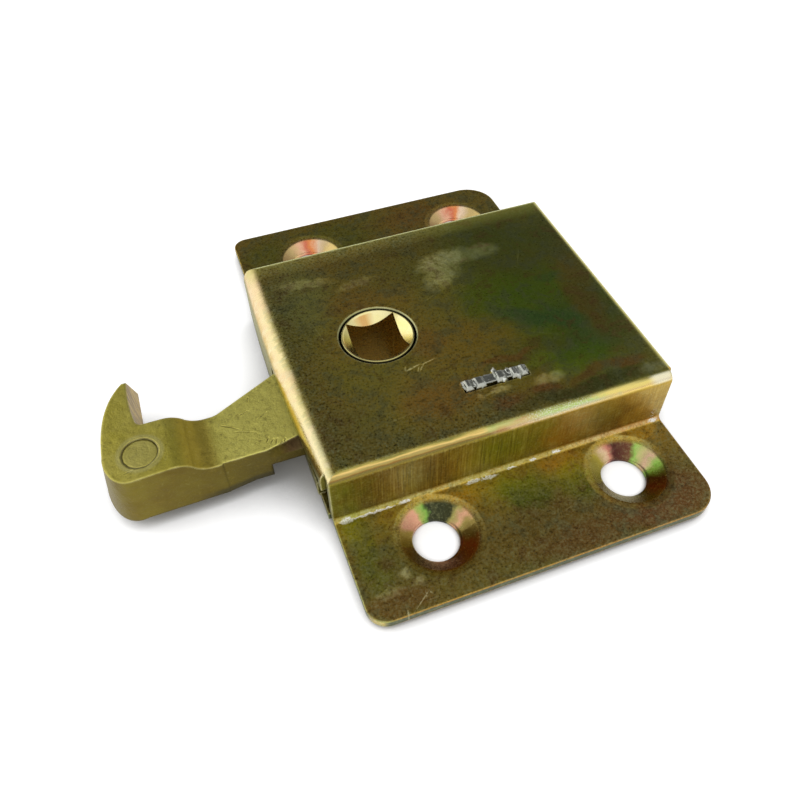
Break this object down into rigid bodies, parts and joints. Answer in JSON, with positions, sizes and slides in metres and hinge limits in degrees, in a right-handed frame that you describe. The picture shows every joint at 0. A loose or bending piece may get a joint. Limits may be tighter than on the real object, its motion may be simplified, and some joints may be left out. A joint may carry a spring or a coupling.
{
  "type": "car boot lock",
  "caption": "Surface-mounted slam latch for a car boot lid: plated pressed steel case with countersunk flanges, brass hook swung by a square-socket follower.",
  "frame": {"origin": "on the follower's axis, in the plane of the mounting face under the flanges", "axes": "+Z along the follower's axis to the top of the case; -X towards the hook; +Y the way the hook closes over its striker"},
  "size_m": [0.0845, 0.0851, 0.0128],
  "materials": {
    "plated_steel": "yellow passivated zinc plate, slightly iridescent",
    "cast_brass": "dull as-cast brass",
    "spring_steel": "blued spring steel",
    "bright_steel": "bright steel"
  },
  "bodies": {
    "case": {"case": "plated_steel", "back_plate": "plated_steel", "thrust_washer": "bright_steel", "shim_washer": "bright_steel", "return_spring": "spring_steel", "spring_clamp": "plated_steel", "spring_rivets": "bright_steel"},
    "hook": {"hook": "cast_brass", "head_pin": "cast_brass"},
    "follower": {"follower": "cast_brass"}
  },
  "joints": [
    {"name": "hook_swing", "type": "hinge", "parent": "case", "child": "hook", "pos_m": [0, 0, 0], "axis": [0, 0, 1], "range_deg": [0, 22], "stiffness_Nm_per_rad": 0.17, "springref_deg": -6.88, "deforming": ["return_spring"]},
    {"name": "follower_turn", "type": "hinge", "parent": "case", "child": "follower", "pos_m": [0, 0, 0], "axis": [0, 0, 1], "range_deg": [0, 22]}
  ],
  "couplings": [
    {"joint": "follower_turn", "follows": "hook_swing", "ratio": 1}
  ]
}
